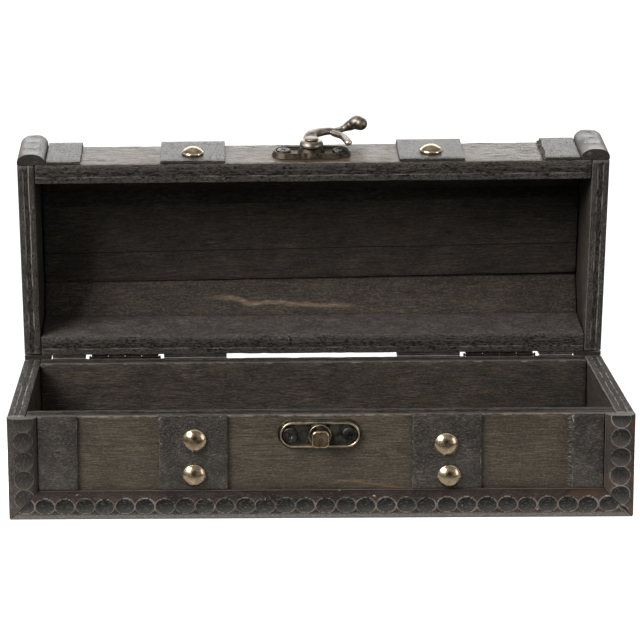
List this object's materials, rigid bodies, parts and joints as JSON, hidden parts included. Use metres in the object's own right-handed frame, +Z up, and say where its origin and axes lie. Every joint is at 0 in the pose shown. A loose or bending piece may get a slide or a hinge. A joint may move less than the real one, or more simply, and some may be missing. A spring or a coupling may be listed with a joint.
{
  "type": "wooden storage box",
  "caption": "Long low wooden chest box with a hinged trapezoid lid, folded straps, coin-bead mouldings, domed nails and a swivelling hook latch.",
  "frame": {"origin": "centre of the base's underside", "axes": "+X along the width to the right, -Y out of the front with the latch, +Z up"},
  "size_m": [0.22, 0.1217, 0.128],
  "materials": {
    "stained_panel": "dark walnut stain, matt",
    "charcoal_strap": "charcoal stain, matt",
    "umber_moulding": "dark umber stain, worn",
    "dome_nail_brass": "polished antique brass",
    "antique_bronze": "antique bronze, rubbed edges",
    "blackened_screw": "blackened steel"
  },
  "bodies": {
    "base": {"base_bottom": "stained_panel", "base_front": "stained_panel", "base_back": "stained_panel", "base_left_end": "stained_panel", "base_right_end": "stained_panel", "base_front_strap_left": "charcoal_strap", "base_front_strap_right": "charcoal_strap", "base_back_strap_left": "charcoal_strap", "base_back_strap_right": "charcoal_strap", "base_front_end_strip_left": "charcoal_strap", "base_front_end_strip_right": "charcoal_strap", "base_back_end_strip_left": "charcoal_strap", "base_back_end_strip_right": "charcoal_strap", "base_bottom_moulding": "umber_moulding", "base_corner_moulding_left": "umber_moulding", "base_corner_moulding_right": "umber_moulding", "base_nail_left_upper": "dome_nail_brass", "base_nail_left_lower": "dome_nail_brass", "base_nail_right_upper": "dome_nail_brass", "base_nail_right_lower": "dome_nail_brass", "catch_plate": "antique_bronze", "catch_stud": "antique_bronze", "catch_screw_left": "blackened_screw", "catch_screw_right": "blackened_screw", "base_hinge_leaf_left": "antique_bronze", "base_hinge_leaf_right": "antique_bronze", "hinge_pin_left": "antique_bronze", "hinge_pin_right": "antique_bronze"},
    "lid": {"lid_front": "stained_panel", "lid_back": "stained_panel", "lid_left_end": "stained_panel", "lid_right_end": "stained_panel", "lid_top": "stained_panel", "lid_front_slope": "stained_panel", "lid_back_slope": "stained_panel", "lid_strap_left": "charcoal_strap", "lid_strap_right": "charcoal_strap", "lid_end_strip_left": "charcoal_strap", "lid_end_strip_right": "charcoal_strap", "lid_moulding_front_left": "umber_moulding", "lid_moulding_front_right": "umber_moulding", "lid_moulding_front_slope_left": "umber_moulding", "lid_moulding_front_slope_right": "umber_moulding", "lid_moulding_top_left": "umber_moulding", "lid_moulding_top_right": "umber_moulding", "lid_moulding_back_slope_left": "umber_moulding", "lid_moulding_back_slope_right": "umber_moulding", "lid_moulding_back_left": "umber_moulding", "lid_moulding_back_right": "umber_moulding", "lid_front_nail_left": "dome_nail_brass", "lid_front_nail_right": "dome_nail_brass", "lid_top_nail_left": "dome_nail_brass", "lid_top_nail_right": "dome_nail_brass", "latch_plate": "antique_bronze", "latch_rivet": "antique_bronze", "latch_screw_left": "blackened_screw", "latch_screw_right": "blackened_screw", "lid_hinge_leaf_left": "antique_bronze", "lid_hinge_leaf_right": "antique_bronze"},
    "hook": {"latch_hook": "antique_bronze"}
  },
  "joints": [
    {"name": "lid_hinge", "type": "hinge", "parent": "base", "child": "lid", "pos_m": [0, 0.03967, 0.0378], "axis": [1, 0, 0], "range_deg": [0, 81]},
    {"name": "hook_swivel", "type": "hinge", "parent": "lid", "child": "hook", "pos_m": [0, 0.03692, 0.11651], "axis": [0, 0.1564, -0.9877], "range_deg": [-60, 133]}
  ]
}
